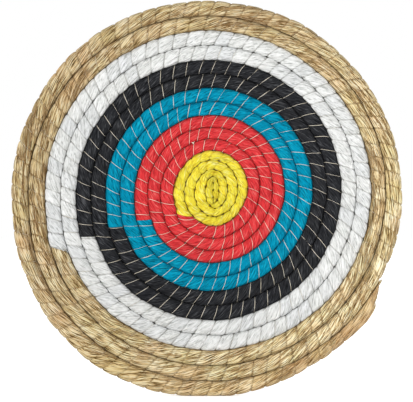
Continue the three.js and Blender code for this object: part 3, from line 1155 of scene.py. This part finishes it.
strawRope = {
    "columns": 54,
    "perStitch": 7,
    "squeeze": 0.3,
    "tailRing": 330.9,
    "bareUnder": 0.003,  # the bare rope starts this far under the white cloth, and the core ends there
    "coreShort": 0.0006,
    "coreStart": 0.001,
}

# Straws that have worked loose and lie over the rope, their ends lifting a little
looseStraw = {
    "count": 1500,
    "steps": 9,
    "sides": 4,
    "seed": 17,
    "fromCloth": 0.004,
    "startRing": 329.6,  # the last of them start here, and none goes past the next ring
    "stopRing": 330.3,
    "long": (0.015, 0.045),
    "front": (0.27, 0.73),  # shares of a ring that they start between, and that they stay between
    "stay": (0.24, 0.76),
    "leanUneven": 0.07,
    "bow": 0.0012,
    "lift": 0.0016,
    "liftFew": 2.5,  # few lift far
    "uneven": 0.0003,
    "sunk": 0.0007,
    "overFloor": 0.0004,
    "tip": (8, 0.25),
    "halfWide": (0.0002, 0.0005),
    "flat": 0.4,
}


def looseStraws():
    random = np.random.default_rng(looseStraw["seed"])
    look, count = ropeLooks["straw"], looseStraw["count"]
    bareFrom = endArcs["white"] + looseStraw["fromCloth"]
    first = random.uniform(bareFrom, arcAtRing(looseStraw["startRing"]), count)
    length = random.uniform(*looseStraw["long"], count)
    shares, girth = girthTable(look)
    around = random.uniform(*np.interp(looseStraw["front"], shares, girth), count)
    slope = np.interp(first, arcTable, laySlopes["straw"])
    lean = slope + random.normal(0, looseStraw["leanUneven"], count)
    along = np.linspace(0, 1, looseStraw["steps"])
    arc = np.minimum(first[:, None] + length[:, None] * along, arcAtRing(looseStraw["stopRing"]))
    place = around[:, None] + lean[:, None] * length[:, None] * along
    bow = random.uniform(-looseStraw["bow"], looseStraw["bow"], count)
    place += bow[:, None] * np.sin(np.pi * along)
    share = np.clip(np.interp(place, girth, shares), *looseStraw["stay"])
    lift = looseStraw["lift"] * random.uniform(0, 1, (count, 2)) ** looseStraw["liftFew"]
    high = random.uniform(-looseStraw["uneven"], looseStraw["uneven"], count)[:, None]
    high = high + lift[:, :1] * (1 - along) ** 4 + lift[:, 1:] * along ** 4
    middle, out = skinSpots(arc, share, look, looseStraw["sunk"], True)
    out = out / np.linalg.norm(out, axis=-1, keepdims=True)
    middle = middle + out * high[..., None]
    middle[..., 2] = np.maximum(middle[..., 2], skin["floor"] + looseStraw["overFloor"])
    steep, least = looseStraw["tip"]
    taper = np.clip(np.minimum(along, 1 - along) * steep + least, 0, 1)
    wide = random.uniform(*looseStraw["halfWide"], count)[:, None] * taper
    return tubesAlong(middle, out, wide * looseStraw["flat"], wide, looseStraw["sides"], False)


# Straws of uneven length that stick out of the rope's cut end, and the small tuft beyond it
endStraw = {
    "count": 70,
    "seed": 18,
    "startRings": (329.9, 330.3),
    "stopRing": 331.05,
    "stopShorter": 0.55,  # those at the rim end this much sooner, in rings
    "stopUneven": (-0.18, 0.1),
    "rings": [330.3, 330.5, 330.64, 330.8, 331.1],
    "wide": [0.97, 0.88, 0.54, 0.36, 0.1],  # how much of the rope's width the tuft keeps there
    "margin": 0.0006,
    "margins": 0.001,
    "stray": (-0.0005, 0.0016),
    "levels": (0.12, 0.93),  # shares of the rope's depth
    "droop": 0.12,
    "rise": 0.05,
    "highest": 0.96,
    "facing": (0.3, -1.0, -0.2),
    "tip": (6, 0.35),
    "halfWide": (0.0004, 0.0009),
    "flat": 0.6,
}


def endStraws():
    random = np.random.default_rng(endStraw["seed"])
    count = endStraw["count"]
    along = np.linspace(0, 1, looseStraw["steps"])
    place = random.uniform(0, 1, count)
    start = random.uniform(*endStraw["startRings"], count)
    stop = endStraw["stopRing"] - endStraw["stopShorter"] * place
    stop = stop + random.uniform(*endStraw["stopUneven"], count)
    ring = start[:, None] + (stop - start)[:, None] * along
    turn = ring / winding["ringsPerTurn"]
    half = ropeSection(turn)[2]
    kept = np.interp(ring, endStraw["rings"], endStraw["wide"])
    x = -half + endStraw["margin"] + place[:, None] * (2 * half - endStraw["margins"]) * kept
    x += random.uniform(*endStraw["stray"], count)[:, None] * along ** 3
    level = random.uniform(*endStraw["levels"], count)[:, None] * (1 - endStraw["droop"] * along)
    level = (level + endStraw["rise"] * along) * fullWidth(turn) * winding["depthShare"]
    middle = ropeSpot(turn, x, level * endStraw["highest"])
    out = np.broadcast_to(np.array(endStraw["facing"]), middle.shape)
    steep, least = endStraw["tip"]
    taper = np.clip((1 - along) * steep + least, 0, 1)
    wide = random.uniform(*endStraw["halfWide"], count)[:, None] * taper
    return tubesAlong(middle, out, wide * endStraw["flat"], wide, looseStraw["sides"], False)


# The hidden core and the bare straw are one piece of rope, and the loose straws lie over it
def makeStraw():
    bareFrom = endArcs["white"] - strawRope["bareUnder"]
    coreRows = rowsAlong(arcAt(0) + strawRope["coreStart"], bareFrom - strawRope["coreShort"],
                         wraps["borePerStitch"])
    inset = wraps["wall"] + wraps["coreGap"]
    core = ropeSheet(coreRows, wraps["boreColumns"], ropeLooks["black"], inset, plain=True)
    bareRows = rowsAlong(bareFrom, arcAtRing(strawRope["tailRing"]), strawRope["perStitch"],
                         strawRope["squeeze"])
    bare = ropeSheet(bareRows, strawRope["columns"], ropeLooks["straw"], isStraw=True)
    body = closedRope("straw_rope_body", [core, bare])
    placePiece("straw_rope_body", body, strawMaterial, "straw_rope")
    loose = joined("loose_straws", [looseStraws(), endStraws()])
    placePiece("loose_straws", loose, looseMaterial, "straw_rope")


makeStraw()
print("straw rope made")

# Studio: white all round for the camera, soft key light from the upper left, pale floor
studio = {
    "skyLight": 0.585,
    "keyPower": 650,
    "keySize": 4.0,
    "keyPlace": (-7.1, -6.8, 1.3),
    "backPower": 300,
    "backPlace": (4.0, 6.5, 2.4),
    "fillPower": 4.2,
    "fillSize": 0.3,
    "fillPlace": (0.80, -0.85, 0.17),
    "aimHigh": 0.25,
    "floorHalf": 12,
    "floorDrop": 0.0014,
    "floorTones": ((0, "#f1f1f1"), (1, "#fafafa")),
    "floorNoise": {"Scale": 60.0},
    "floorGlow": 0.55,
}
world = bpy.data.worlds.new("studioWorld")
bpy.context.scene.world = world
world.use_nodes = True
sky = world.node_tree
sky.nodes.clear()
path = addNode(sky, "LightPath").outputs
direct = addNode(sky, "Math", {0: path["Is Camera Ray"], 1: path["Is Glossy Ray"]}, operation="MAXIMUM")
seen = addNode(sky, "Math", {0: direct.outputs[0], 1: path["Is Transmission Ray"]}, operation="MAXIMUM")
soft = addNode(sky, "Background", {"Color": (1, 1, 1, 1), "Strength": studio["skyLight"]})
white = addNode(sky, "Background", {"Color": (1, 1, 1, 1), "Strength": 1.0})
chosenSky = addNode(sky, "MixShader", {0: seen.outputs[0], 1: soft.outputs[0], 2: white.outputs[0]})
addNode(sky, "OutputWorld", {"Surface": chosenSky.outputs[0]})


# A square lamp that faces the middle of the boss
def addLamp(name, power, size, place):
    data = bpy.data.lights.new(name, "AREA")
    data.energy = power
    data.size = size
    lamp = bpy.data.objects.new(name, data)
    lamp.location = place
    aim = np.array([0, 0, studio["aimHigh"]]) - np.array(place)
    tilt = math.atan2(math.hypot(aim[0], aim[1]), -aim[2])
    lamp.rotation_euler = (tilt, 0, math.atan2(aim[0], -aim[1]) + math.pi)
    bpy.context.scene.collection.objects.link(lamp)


addLamp("keyLight", studio["keyPower"], studio["keySize"], studio["keyPlace"])
addLamp("backLight", studio["backPower"], studio["keySize"], studio["backPlace"])
addLamp("fillLight", studio["fillPower"], studio["fillSize"], studio["fillPlace"])

# Painted studio floor: white and matt; it glows a little for the camera so that only shadow shows
floorMaterial, tree = newMaterial("mattWhitePaint")
place = addNode(tree, "TexCoord").outputs["Object"]
grain = addNode(tree, "TexNoise", {"Vector": place, **studio["floorNoise"]}).outputs["Fac"]
paint = addNode(tree, "ValToRGB", {"Fac": grain}, studio["floorTones"]).outputs["Color"]
matt = addNode(tree, "BsdfDiffuse", {"Color": paint}).outputs[0]
glow = addNode(tree, "Emission", {"Strength": studio["floorGlow"]}).outputs[0]
bright = addNode(tree, "AddShader", {0: matt, 1: glow}).outputs[0]
cameraRay = addNode(tree, "LightPath").outputs["Is Camera Ray"]
chosen = addNode(tree, "MixShader", {0: cameraRay, 1: matt, 2: bright}).outputs[0]
addNode(tree, "OutputMaterial", {"Surface": chosen})
flat = bmesh.new()
bmesh.ops.create_grid(flat, x_segments=1, y_segments=1, size=studio["floorHalf"])
floorMesh = bpy.data.meshes.new("studioFloor")
flat.to_mesh(floorMesh)
flat.free()
floorMesh.materials.append(floorMaterial)
studioFloor = bpy.data.objects.new("studioFloor", floorMesh)
studioFloor.location = (0, 0, -studio["floorDrop"])
bpy.context.scene.collection.objects.link(studioFloor)
print("studio made")
